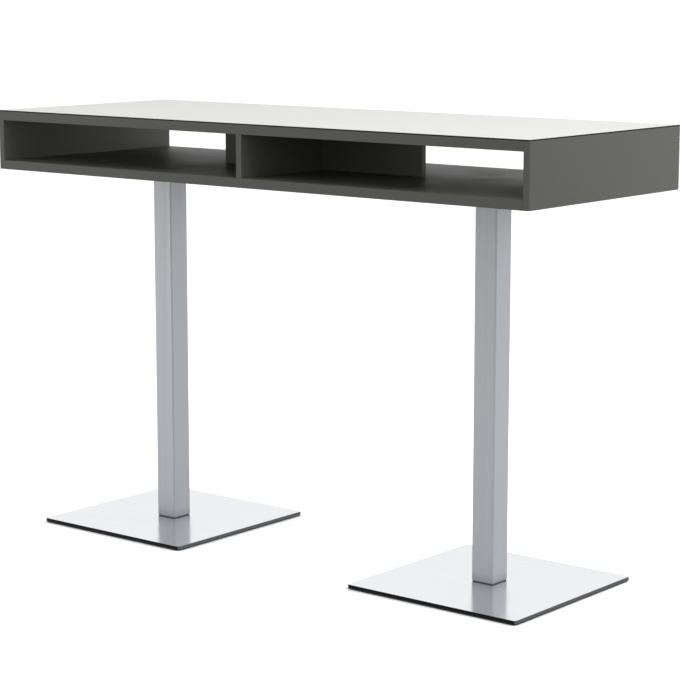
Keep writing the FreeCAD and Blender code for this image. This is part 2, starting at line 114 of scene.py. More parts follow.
def add_node(
    tree: bpy.types.NodeTree, kind: str, inputs: dict[str | int, Any] | None = None, **settings: Any
) -> bpy.types.Node:
    """Adds a shader node with its settings and links.

    Args:
        tree: The node tree of a material or of the world.
        kind: Blender's name for the node's type.
        inputs: A value or another node's output socket for each input, by its name or number.
        settings: Properties of the node itself.

    Returns:
        The new node.
    """
    node = tree.nodes.new(kind)
    for name, value in settings.items():
        setattr(node, name, value)
    for key, value in (inputs or {}).items():
        if isinstance(value, bpy.types.NodeSocket):
            tree.links.new(value, node.inputs[key])
        else:
            node.inputs[key].default_value = value
    return node


# Finishes

@dataclass(frozen=True)
class Finish:
    """What all finishes share: a name, a slot of the record and a node tree to fill."""

    name: str
    slot: str

    def build(self) -> bpy.types.Material:
        """Makes the material and fills its node tree.

        Returns:
            The finished material.
        """
        material = bpy.data.materials.new(self.name)
        material.use_nodes = True
        tree = material.node_tree
        tree.nodes.clear()
        output = add_node(tree, "ShaderNodeOutputMaterial")
        surface = self.fill(tree)
        tree.links.new(surface.outputs["BSDF"], output.inputs["Surface"])
        return material

    def fill(self, tree: bpy.types.NodeTree) -> bpy.types.Node:
        """Adds the finish's own nodes, which each kind of finish does in its own way.

        Args:
            tree: The material's node tree.

        Returns:
            The surface shader.
        """
        raise NotImplementedError


@dataclass(frozen=True)
class PressedLaminate(Finish):
    """Compact laminate, pressed against a fine pearl plate.

    The decor sheet gives an even, pale, very slightly warm face. The press plate leaves a soft
    satin with a fine pebble, so a reflection on it has no edges.
    """

    colour: str = "#E8E9E4"
    cloud_colour: str = "#E3E4DF"
    cloud_mm: float = 220
    # The pebble is about 0.4 mm on the real sheet, and is drawn coarser so that it shows
    pebble_mm: float = 3.5
    pebble_depth_mm: float = 0.03
    # How far the pebble darkens and lightens the colour
    dark_share: float = 0.975
    light_share: float = 1.02
    roughness_low: float = 0.34
    roughness_high: float = 0.46
    ior: float = 1.5

    def fill(self, tree: bpy.types.NodeTree) -> bpy.types.Node:
        """Adds soft clouds, a pebble bump and a roughness that follows the pebble.

        Args:
            tree: The material's node tree.

        Returns:
            The surface shader.
        """
        place = add_node(tree, "ShaderNodeTexCoord").outputs["Object"]
        cloud = add_node(tree, "ShaderNodeTexNoise", {
            "Vector": place, "Scale": per_metre(self.cloud_mm), "Detail": 3.0, "Roughness": 0.6})
        pebble = add_node(tree, "ShaderNodeTexNoise", {
            "Vector": place, "Scale": per_metre(self.pebble_mm), "Detail": 2.0})
        colour = add_node(tree, "ShaderNodeMix", {
            FACTOR: cloud.outputs["Fac"], COLOUR_A: linear(self.colour),
            COLOUR_B: linear(self.cloud_colour)}, data_type="RGBA")
        speck = add_node(tree, "ShaderNodeMapRange", {
            "Value": pebble.outputs["Fac"], "From Min": NOISE_LOW, "From Max": NOISE_HIGH,
            "To Min": self.dark_share, "To Max": self.light_share})
        tinted = add_node(tree, "ShaderNodeMix", {
            FACTOR: 1.0, COLOUR_A: colour.outputs[MIXED_COLOUR], COLOUR_B: speck.outputs["Result"]},
            data_type="RGBA", blend_type="MULTIPLY")
        rough = add_node(tree, "ShaderNodeMapRange", {
            "Value": pebble.outputs["Fac"], "From Min": NOISE_LOW, "From Max": NOISE_HIGH,
            "To Min": self.roughness_low, "To Max": self.roughness_high})
        bump = add_node(tree, "ShaderNodeBump", {
            "Strength": 1.0, "Distance": self.pebble_depth_mm * MM,
            "Height": pebble.outputs["Fac"]})
        return add_node(tree, "ShaderNodeBsdfPrincipled", {
            "Base Color": tinted.outputs[MIXED_COLOUR], "Roughness": rough.outputs["Result"],
            "IOR": self.ior, "Normal": bump.outputs["Normal"]})


@dataclass(frozen=True)
class PhenolicCore(Finish):
    """The milled edge of the laminate sheet: layers of black paper in phenolic resin.

    The milled layers run level round the rim as fine, slightly lighter lines in a satin black.
    """

    colour: str = "#0B0B0A"
    layer_colour: str = "#171614"
    # The paper layers are about 0.15 mm thick, and are drawn thicker so that they show
    layer_mm: float = 0.5
    layer_run_mm: float = 60
    layer_depth_mm: float = 0.02
    roughness_low: float = 0.4
    roughness_high: float = 0.6
    ior: float = 1.54
    specular: float = 0.12

    def fill(self, tree: bpy.types.NodeTree) -> bpy.types.Node:
        """Adds level layers and a roughness that follows them.

        Args:
            tree: The material's node tree.

        Returns:
            The surface shader.
        """
        place = add_node(tree, "ShaderNodeTexCoord").outputs["Object"]
        along = add_node(tree, "ShaderNodeMapping", {
            "Vector": place, "Scale": stretched(self.layer_run_mm, self.layer_run_mm, self.layer_mm)})
        layers = add_node(tree, "ShaderNodeTexNoise", {
            "Vector": along.outputs["Vector"], "Scale": 1.0, "Detail": 2.0})
        colour = add_node(tree, "ShaderNodeMix", {
            FACTOR: layers.outputs["Fac"], COLOUR_A: linear(self.colour),
            COLOUR_B: linear(self.layer_colour)}, data_type="RGBA")
        rough = add_node(tree, "ShaderNodeMapRange", {
            "Value": layers.outputs["Fac"],
            "To Min": self.roughness_low, "To Max": self.roughness_high})
        bump = add_node(tree, "ShaderNodeBump", {
            "Strength": 0.6, "Distance": self.layer_depth_mm * MM, "Height": layers.outputs["Fac"]})
        return add_node(tree, "ShaderNodeBsdfPrincipled", {
            "Base Color": colour.outputs[MIXED_COLOUR], "Roughness": rough.outputs["Result"],
            "IOR": self.ior, "Specular IOR Level": self.specular, "Normal": bump.outputs["Normal"]})


@dataclass(frozen=True)
class SprayedLacquer(Finish):
    """Fibreboard, filled, sanded and sprayed with a satin two-part lacquer.

    Spraying leaves a shallow orange peel and slightly uneven gloss. The colour is a warm grey
    that leans to green.
    """

    colour: str = "#51524D"
    drift_colour: str = "#565751"
    drift_mm: float = 160
    # Orange peel is 1 to 2 mm across, and is drawn coarser so that it shows
    peel_mm: float = 4.5
    peel_depth_mm: float = 0.035
    nib_mm: float = 1.2
    # How far the nibs darken and lighten the colour
    dark_share: float = 0.94
    light_share: float = 1.06
    roughness_low: float = 0.42
    roughness_high: float = 0.54
    ior: float = 1.48
    specular: float = 0.25

    def fill(self, tree: bpy.types.NodeTree) -> bpy.types.Node:
        """Adds a drift of colour and gloss, orange peel and fine nibs.

        Args:
            tree: The material's node tree.

        Returns:
            The surface shader.
        """
        place = add_node(tree, "ShaderNodeTexCoord").outputs["Object"]
        drift = add_node(tree, "ShaderNodeTexNoise", {
            "Vector": place, "Scale": per_metre(self.drift_mm), "Detail": 4.0, "Roughness": 0.55})
        peel = add_node(tree, "ShaderNodeTexNoise", {
            "Vector": place, "Scale": per_metre(self.peel_mm), "Detail": 1.0})
        nibs = add_node(tree, "ShaderNodeTexNoise", {
            "Vector": place, "Scale": per_metre(self.nib_mm), "Detail": 1.0})
        colour = add_node(tree, "ShaderNodeMix", {
            FACTOR: drift.outputs["Fac"], COLOUR_A: linear(self.colour),
            COLOUR_B: linear(self.drift_colour)}, data_type="RGBA")
        shade = add_node(tree, "ShaderNodeMapRange", {
            "Value": nibs.outputs["Fac"], "From Min": NOISE_LOW, "From Max": NOISE_HIGH,
            "To Min": self.dark_share, "To Max": self.light_share})
        tinted = add_node(tree, "ShaderNodeMix", {
            FACTOR: 1.0, COLOUR_A: colour.outputs[MIXED_COLOUR], COLOUR_B: shade.outputs["Result"]},
            data_type="RGBA", blend_type="MULTIPLY")
        rough = add_node(tree, "ShaderNodeMapRange", {
            "Value": drift.outputs["Fac"], "From Min": NOISE_LOW, "From Max": NOISE_HIGH,
            "To Min": self.roughness_low, "To Max": self.roughness_high})
        bump = add_node(tree, "ShaderNodeBump", {
            "Strength": 1.0, "Distance": self.peel_depth_mm * MM, "Height": peel.outputs["Fac"]})
        return add_node(tree, "ShaderNodeBsdfPrincipled", {
            "Base Color": tinted.outputs[MIXED_COLOUR], "Roughness": rough.outputs["Result"],
            "IOR": self.ior, "Specular IOR Level": self.specular, "Normal": bump.outputs["Normal"]})


@dataclass(frozen=True)
class SilverPowderCoat(Finish):
    """Steel tube and plate under a satin silver powder coat.

    Aluminium flakes in the powder give a cool grey that is part metal, part paint. The drawn
    tube below it shows as faint streaks along the column.
    """

    colour: str = "#B7BABE"
    streak_colour: str = "#B2B5BA"
    streak_mm: float = 9
    streak_run_mm: float = 900
    # The flakes are under 0.1 mm, and are drawn coarser so that they show
    flake_mm: float = 1.3
    # How far the flakes darken and lighten the colour
    dark_share: float = 0.96
    light_share: float = 1.04
    peel_mm: float = 2.2
    peel_depth_mm: float = 0.012
    metallic: float = 0.3
    roughness_low: float = 0.36
    roughness_high: float = 0.46
    # Painted shade: below the lower of these heights a column's colour is darkened by this factor,
    # fading out up to the upper height
    painted_shade_low_mm: float = 13
    painted_shade_high_mm: float = 34
    painted_foot_shade: float = 0.74

    def fill(self, tree: bpy.types.NodeTree) -> bpy.types.Node:
        """Adds upright streaks, metal flakes, a fine powder texture and painted shade at the foot.

        Args:
            tree: The material's node tree.

        Returns:
            The surface shader.
        """
        place = add_node(tree, "ShaderNodeTexCoord").outputs["Object"]
        upright = add_node(tree, "ShaderNodeMapping", {
            "Vector": place,
            "Scale": stretched(self.streak_mm, self.streak_mm, self.streak_run_mm)})
        streaks = add_node(tree, "ShaderNodeTexNoise", {
            "Vector": upright.outputs["Vector"], "Scale": 1.0, "Detail": 2.0})
        flakes = add_node(tree, "ShaderNodeTexVoronoi", {
            "Vector": place, "Scale": per_metre(self.flake_mm)})
        peel = add_node(tree, "ShaderNodeTexNoise", {
            "Vector": place, "Scale": per_metre(self.peel_mm), "Detail": 1.0})
        colour = add_node(tree, "ShaderNodeMix", {
            FACTOR: streaks.outputs["Fac"], COLOUR_A: linear(self.colour),
            COLOUR_B: linear(self.streak_colour)}, data_type="RGBA")
        glint = add_node(tree, "ShaderNodeSeparateColor", {"Color": flakes.outputs["Color"]})
        shade = add_node(tree, "ShaderNodeMapRange", {
            "Value": glint.outputs["Red"], "To Min": self.dark_share, "To Max": self.light_share})
        # Painted shade at the foot of the column, where it stands on the plate
        height = add_node(tree, "ShaderNodeSeparateXYZ", {"Vector": place})
        painted_shade_ramp = add_node(tree, "ShaderNodeMapRange", {
            "Value": height.outputs["Z"], "From Min": self.painted_shade_low_mm * MM,
            "From Max": self.painted_shade_high_mm * MM, "To Min": self.painted_foot_shade, "To Max": 1.0})
        flakes_and_painted_shade = add_node(tree, "ShaderNodeMath", {
            TERM_A: shade.outputs["Result"], TERM_B: painted_shade_ramp.outputs["Result"]}, operation="MULTIPLY")
        tinted = add_node(tree, "ShaderNodeMix", {
            FACTOR: 1.0, COLOUR_A: colour.outputs[MIXED_COLOUR], COLOUR_B: flakes_and_painted_shade.outputs["Value"]},
            data_type="RGBA", blend_type="MULTIPLY")
        rough = add_node(tree, "ShaderNodeMapRange", {
            "Value": streaks.outputs["Fac"], "From Min": NOISE_LOW, "From Max": NOISE_HIGH,
            "To Min": self.roughness_low, "To Max": self.roughness_high})
        bump = add_node(tree, "ShaderNodeBump", {
            "Strength": 1.0, "Distance": self.peel_depth_mm * MM, "Height": peel.outputs["Fac"]})
        return add_node(tree, "ShaderNodeBsdfPrincipled", {
            "Base Color": tinted.outputs[MIXED_COLOUR], "Metallic": self.metallic,
            "Roughness": rough.outputs["Result"], "Normal": bump.outputs["Normal"]})


@dataclass(frozen=True)
class GroundSteelPlate(Finish):
    """Stainless steel plate, belt ground and then polished, with its edges painted dark.

    The face is nearly a mirror with the last fine grinding lines along the table. The edges at
    the front and the back are painted near black, a dark cut edge deepened with painted shade
    for the dark room that they face, and the edges at its two ends are painted a lighter grey,
    painted light for the brighter side of the room. The underside keeps the dull, mottled grey
    of the rolling mill.
    """

    colour: str = "#F2F3F5"
    line_colour: str = "#E8EAED"
    # Painted shade and painted light: near black for the front and back edges, lighter grey for the
    # end edges
    painted_dark_edge_colour: str = "#1B1C1E"
    painted_light_edge_colour: str = "#66686B"
    mill_colour: str = "#6F7275"
    mottle_colour: str = "#5C5F62"
    # The grinding lines are about 0.2 mm apart, and are drawn coarser so that they show
    line_mm: float = 2.4
    line_run_mm: float = 160
    line_depth_mm: float = 0.004
    smear_mm: float = 90
    mottle_mm: float = 14
    # Nearly all values of the lines' noise times the smears' noise lie between these two
    gloss_low: float = 0.12
    gloss_high: float = 0.42
    roughness_low: float = 0.13
    roughness_high: float = 0.23
    cut_roughness: float = 0.42
    mill_roughness: float = 0.5
    # Height of the unit normal where the cut edge ends and where the flat face begins
    edge_level: float = 0.72
    face_level: float = 0.9
    # Reach of the unit normal along X where the edge painted dark ends and the edge painted light
    # begins
    painted_dark_edge_level: float = 0.45
    painted_light_edge_level: float = 0.68

    def fill(self, tree: bpy.types.NodeTree) -> bpy.types.Node:
        """Adds grinding lines above, mill mottle below and painted shade and light round the edges.

        Args:
            tree: The material's node tree.

        Returns:
            The surface shader.
        """
        source = add_node(tree, "ShaderNodeTexCoord")
        place = source.outputs["Object"]
        along = add_node(tree, "ShaderNodeMapping", {
            "Vector": place, "Scale": stretched(self.line_run_mm, self.line_mm, self.line_mm)})
        lines = add_node(tree, "ShaderNodeTexNoise", {
            "Vector": along.outputs["Vector"], "Scale": 1.0, "Detail": 3.0})
        smears = add_node(tree, "ShaderNodeTexNoise", {
            "Vector": place, "Scale": per_metre(self.smear_mm), "Detail": 3.0})
        mottle = add_node(tree, "ShaderNodeTexNoise", {
            "Vector": place, "Scale": per_metre(self.mottle_mm), "Detail": 4.0, "Roughness": 0.6})
        facing = add_node(tree, "ShaderNodeSeparateXYZ", {"Vector": source.outputs["Normal"]})
        face = add_node(tree, "ShaderNodeMapRange", {
            "Value": facing.outputs["Z"], "From Min": self.edge_level, "From Max": self.face_level})
        underside = add_node(tree, "ShaderNodeMapRange", {
            "Value": facing.outputs["Z"],
            "From Min": -self.edge_level, "From Max": -self.face_level})
        steel = add_node(tree, "ShaderNodeMix", {
            FACTOR: lines.outputs["Fac"], COLOUR_A: linear(self.colour),
            COLOUR_B: linear(self.line_colour)}, data_type="RGBA")
        mill = add_node(tree, "ShaderNodeMix", {
            FACTOR: mottle.outputs["Fac"], COLOUR_A: linear(self.mill_colour),
            COLOUR_B: linear(self.mottle_colour)}, data_type="RGBA")
        # Painted light on edges that face the ends, painted shade on edges that face the front and
        # back
        reach = add_node(tree, "ShaderNodeMath", {TERM_A: facing.outputs["X"]}, operation="ABSOLUTE")
        painted_light_edge = add_node(tree, "ShaderNodeMapRange", {
            "Value": reach.outputs["Value"],
            "From Min": self.painted_dark_edge_level, "From Max": self.painted_light_edge_level})
        painted_edge = add_node(tree, "ShaderNodeMix", {
            FACTOR: painted_light_edge.outputs["Result"], COLOUR_A: linear(self.painted_dark_edge_colour),
            COLOUR_B: linear(self.painted_light_edge_colour)}, data_type="RGBA")
        painted_edge_or_mill = add_node(tree, "ShaderNodeMix", {
            FACTOR: underside.outputs["Result"], COLOUR_A: painted_edge.outputs[MIXED_COLOUR],
            COLOUR_B: mill.outputs[MIXED_COLOUR]}, data_type="RGBA")
        colour = add_node(tree, "ShaderNodeMix", {
            FACTOR: face.outputs["Result"], COLOUR_A: painted_edge_or_mill.outputs[MIXED_COLOUR],
            COLOUR_B: steel.outputs[MIXED_COLOUR]}, data_type="RGBA")
        gloss = add_node(tree, "ShaderNodeMath", {
            TERM_A: lines.outputs["Fac"], TERM_B: smears.outputs["Fac"]}, operation="MULTIPLY")
        polish = add_node(tree, "ShaderNodeMapRange", {
            "Value": gloss.outputs["Value"], "From Min": self.gloss_low, "From Max": self.gloss_high,
            "To Min": self.roughness_low, "To Max": self.roughness_high})
        dull = add_node(tree, "ShaderNodeMix", {
            FACTOR: underside.outputs["Result"], NUMBER_A: self.cut_roughness,
            NUMBER_B: self.mill_roughness}, data_type="FLOAT")
        rough = add_node(tree, "ShaderNodeMix", {
            FACTOR: face.outputs["Result"], NUMBER_A: dull.outputs[MIXED_NUMBER],
            NUMBER_B: polish.outputs["Result"]}, data_type="FLOAT")
        bump = add_node(tree, "ShaderNodeBump", {
            "Strength": 0.5, "Distance": self.line_depth_mm * MM, "Height": lines.outputs["Fac"]})
        return add_node(tree, "ShaderNodeBsdfPrincipled", {
            "Base Color": colour.outputs[MIXED_COLOUR], "Metallic": 1.0,
            "Roughness": rough.outputs[MIXED_NUMBER], "Normal": bump.outputs["Normal"]})


@dataclass(frozen=True)
class PlatedFastener(Finish):
    """A turned or cold-headed metal fastener with its plating.

    Turning and plating leave fine rings and a slightly cloudy shine.
    """

    colour: str = "#B9BCBE"
    cloud_colour: str = "#9EA1A6"
    cloud_mm: float = 4
    ring_mm: float = 0.6
    ring_run_mm: float = 16
    ring_depth_mm: float = 0.02
    roughness_low: float = 0.24
    roughness_high: float = 0.42

    def fill(self, tree: bpy.types.NodeTree) -> bpy.types.Node:
        """Adds cloudy plating and level turning marks.

        Args:
            tree: The material's node tree.

        Returns:
            The surface shader.
        """
        place = add_node(tree, "ShaderNodeTexCoord").outputs["Object"]
        cloud = add_node(tree, "ShaderNodeTexNoise", {
            "Vector": place, "Scale": per_metre(self.cloud_mm), "Detail": 3.0})
        level = add_node(tree, "ShaderNodeMapping", {
            "Vector": place, "Scale": stretched(self.ring_run_mm, self.ring_run_mm, self.ring_mm)})
        rings = add_node(tree, "ShaderNodeTexNoise", {
            "Vector": level.outputs["Vector"], "Scale": 1.0, "Detail": 1.0})
        colour = add_node(tree, "ShaderNodeMix", {
            FACTOR: cloud.outputs["Fac"], COLOUR_A: linear(self.colour),
            COLOUR_B: linear(self.cloud_colour)}, data_type="RGBA")
        rough = add_node(tree, "ShaderNodeMapRange", {
            "Value": cloud.outputs["Fac"], "From Min": NOISE_LOW, "From Max": NOISE_HIGH,
            "To Min": self.roughness_low, "To Max": self.roughness_high})
        bump = add_node(tree, "ShaderNodeBump", {
            "Strength": 0.5, "Distance": self.ring_depth_mm * MM, "Height": rings.outputs["Fac"]})
        return add_node(tree, "ShaderNodeBsdfPrincipled", {
            "Base Color": colour.outputs[MIXED_COLOUR], "Metallic": 1.0,
            "Roughness": rough.outputs["Result"], "Normal": bump.outputs["Normal"]})


@dataclass(frozen=True)
class MouldedPolymer(Finish):
    """A moulded dark part, such as a rubber seal or a nylon pad.

    The spark-eroded mould gives a fine even grain, and handling leaves it a little paler.
    """

    colour: str
    rub_colour: str
    grain_mm: float = 0.8
    grain_depth_mm: float = 0.03
    rub_mm: float = 25
    roughness_low: float = 0.5
    roughness_high: float = 0.7
    ior: float = 1.5

    def fill(self, tree: bpy.types.NodeTree) -> bpy.types.Node:
        """Adds an eroded grain and paler rubbed patches.

        Args:
            tree: The material's node tree.

        Returns:
            The surface shader.
        """
        place = add_node(tree, "ShaderNodeTexCoord").outputs["Object"]
        grain = add_node(tree, "ShaderNodeTexNoise", {
            "Vector": place, "Scale": per_metre(self.grain_mm), "Detail": 1.0})
        rub = add_node(tree, "ShaderNodeTexNoise", {
            "Vector": place, "Scale": per_metre(self.rub_mm), "Detail": 3.0})
        colour = add_node(tree, "ShaderNodeMix", {
            FACTOR: rub.outputs["Fac"], COLOUR_A: linear(self.colour),
            COLOUR_B: linear(self.rub_colour)}, data_type="RGBA")
        rough = add_node(tree, "ShaderNodeMapRange", {
            "Value": grain.outputs["Fac"], "From Min": NOISE_LOW, "From Max": NOISE_HIGH,
            "To Min": self.roughness_low, "To Max": self.roughness_high})
        bump = add_node(tree, "ShaderNodeBump", {
            "Strength": 0.7, "Distance": self.grain_depth_mm * MM, "Height": grain.outputs["Fac"]})
        return add_node(tree, "ShaderNodeBsdfPrincipled", {
            "Base Color": colour.outputs[MIXED_COLOUR], "Roughness": rough.outputs["Result"],
            "IOR": self.ior, "Normal": bump.outputs["Normal"]})


@dataclass(frozen=True)
class TurnedBeech(Finish):
    """Steamed beech dowel rod, ribbed and left raw.

    The wood is a pale red brown with short darker flecks along the grain.
    """

    colour: str = "#C79A6B"
    fleck_colour: str = "#A87A4E"
    fleck_mm: float = 1.5
    fleck_run_mm: float = 10
    fleck_depth_mm: float = 0.05
    roughness_low: float = 0.55
    roughness_high: float = 0.75
    ior: float = 1.45

    def fill(self, tree: bpy.types.NodeTree) -> bpy.types.Node:
        """Adds flecks along the grain and a dry, open surface.

        Args:
            tree: The material's node tree.

        Returns:
            The surface shader.
        """
        place = add_node(tree, "ShaderNodeTexCoord").outputs["Object"]
        along = add_node(tree, "ShaderNodeMapping", {
            "Vector": place, "Scale": stretched(self.fleck_mm, self.fleck_mm, self.fleck_run_mm)})
        flecks = add_node(tree, "ShaderNodeTexNoise", {
            "Vector": along.outputs["Vector"], "Scale": 1.0, "Detail": 3.0})
        colour = add_node(tree, "ShaderNodeMix", {
            FACTOR: flecks.outputs["Fac"], COLOUR_A: linear(self.colour),
            COLOUR_B: linear(self.fleck_colour)}, data_type="RGBA")
        rough = add_node(tree, "ShaderNodeMapRange", {
            "Value": flecks.outputs["Fac"],
            "To Min": self.roughness_low, "To Max": self.roughness_high})
        bump = add_node(tree, "ShaderNodeBump", {
            "Strength": 0.5, "Distance": self.fleck_depth_mm * MM, "Height": flecks.outputs["Fac"]})
        return add_node(tree, "ShaderNodeBsdfPrincipled", {
            "Base Color": colour.outputs[MIXED_COLOUR], "Roughness": rough.outputs["Result"],
            "IOR": self.ior, "Normal": bump.outputs["Normal"]})


@dataclass
class FinishRack:
    """All the finishes of the table, each made once."""

    laminate: bpy.types.Material = field(init=False)
    core: bpy.types.Material = field(init=False)
    by_slot: dict[str, bpy.types.Material] = field(init=False, default_factory=dict)

    def __post_init__(self) -> None:
        """Builds every material."""
        self.laminate = PressedLaminate("pressed_laminate", "top_laminate").build()
        self.core = PhenolicCore("phenolic_core", "top_laminate").build()
        self.by_slot["top_laminate"] = self.laminate
        finishes = (
            SprayedLacquer("sprayed_lacquer", "grey_lacquer"),
            SilverPowderCoat("silver_powder_coat", "silver_coat"),
            GroundSteelPlate("ground_steel_plate", "brushed_plate"),
            PlatedFastener("zinc_plate", "zinc_steel"),
            PlatedFastener("turned_brass", "brass", colour="#C9A75E", cloud_colour="#B08F4B"),
            MouldedPolymer("moulded_rubber", "seal_rubber", colour="#4E5053", rub_colour="#5C5E61"),
            MouldedPolymer("moulded_nylon", "nylon", colour="#222324", rub_colour="#313234",
                           roughness_low=0.38, roughness_high=0.55, ior=1.53),
            TurnedBeech("turned_beech", "beech"),
        )
        for finish in finishes:
            self.by_slot[finish.slot] = finish.build()


# Modelling helpers

class Element(Enum):
    """What edit mode can select."""

    CORNER = "VERT"
    EDGE = "EDGE"
    FACE = "FACE"


@contextmanager
def editing(piece: bpy.types.Object) -> Iterator[bmesh.types.BMesh]:
    """Opens a piece in edit mode with nothing selected, and closes it again.

    Args:
        piece: The mesh object to edit.

    Yields:
        The piece's mesh, for selecting by place or normal.
    """
    bpy.ops.object.select_all(action="DESELECT")
    piece.select_set(True)
    bpy.context.view_layer.objects.active = piece
    bpy.ops.object.mode_set(mode="EDIT")
    bpy.ops.mesh.select_all(action="DESELECT")
    yield bmesh.from_edit_mesh(piece.data)
    bpy.ops.object.mode_set(mode="OBJECT")


def select(mesh: bmesh.types.BMesh, kind: Element, wanted: Callable[[Any], bool]) -> None:
    """Selects the elements of one kind that pass a test, and nothing else.

    Args:
        mesh: The mesh that is open in edit mode.
        kind: The kind of element.
        wanted: Tells whether an element is wanted.
    """
    elements = {Element.CORNER: mesh.verts, Element.EDGE: mesh.edges, Element.FACE: mesh.faces}
    bpy.ops.mesh.select_all(action="DESELECT")
    bpy.ops.mesh.select_mode(type=kind.value)
    for element in elements[kind]:
        element.select_set(wanted(element))


def is_upright(edge: bmesh.types.BMEdge) -> bool:
    """Tells whether an edge runs straight up."""
    first, second = (corner.co for corner in edge.verts)
    return (first.xy - second.xy).length < NEAR


def lies_at(edge: bmesh.types.BMEdge, height: float) -> bool:
    """Tells whether both ends of an edge lie at a height."""
    return all(abs(corner.co.z - height) < NEAR for corner in edge.verts)


def is_middle(face: bmesh.types.BMFace, *heights: float) -> bool:
    """Tells whether a face is centred on the world's upright axis, at one of these heights."""
    middle = face.calc_center_median()
    return middle.xy.length < NEAR and any(abs(middle.z - height) < NEAR for height in heights)


def add_block(name: str, low: Vector, high: Vector) -> bpy.types.Object:
    """Adds a block between two corners, with its origin at the world's.

    Args:
        name: The piece's name.
        low: The lowest corner.
        high: The highest corner.

    Returns:
        The new mesh object.
    """
    bpy.ops.object.select_all(action="DESELECT")
    bpy.ops.mesh.primitive_cube_add(size=1, location=(low + high) / 2)
    piece = bpy.context.object
    piece.scale = high - low
    bpy.ops.object.transform_apply(location=True, rotation=True, scale=True)
    piece.name = name
    piece.data.name = name
    return piece


# The table

class Side(Enum):
    """The two sides of the table that each hold a column."""

    LEFT = "left"
    RIGHT = "right"


@dataclass
class TopSheet:
    """The laminate sheet on top of the box, pale above and black round its edge."""

    rack: FinishRack
    node: str = "top_sheet"
    corner_radius: float = 1.2 * MM
    rim_radius: float = 0.5 * MM
    steps: int = 3
    # Least angle between two faces that meet at the rim
    rim_angle: float = 1.0
    # Height of the unit normal above which the decor is left, so that the eased rim shows the core
    decor_level: float = 0.99

    def build(self) -> bpy.types.Object:
        """Models the sheet with eased corners and rims and gives it its two finishes.

        Returns:
            The finished sheet.
        """
        low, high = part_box(self.node)
        sheet = add_block("pale_top_sheet", low, high)
        with editing(sheet) as mesh:
            select(mesh, Element.EDGE, is_upright)
            bpy.ops.mesh.bevel(offset=self.corner_radius, segments=self.steps, affect="EDGES")
            select(mesh, Element.EDGE, lambda edge: lies_at(edge, high.z)
                   and len(edge.link_faces) == 2 and edge.calc_face_angle() > self.rim_angle)
            bpy.ops.mesh.bevel(offset=self.rim_radius, segments=self.steps, affect="EDGES")
        sheet.data.materials.append(self.rack.core)
        sheet.data.materials.append(self.rack.laminate)
        for face in sheet.data.polygons:
            face.material_index = int(face.normal.z > self.decor_level)
        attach(sheet, "table")
        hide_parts(self.node)
        log.info("%s: %d faces", sheet.name, len(sheet.data.polygons))
        return sheet


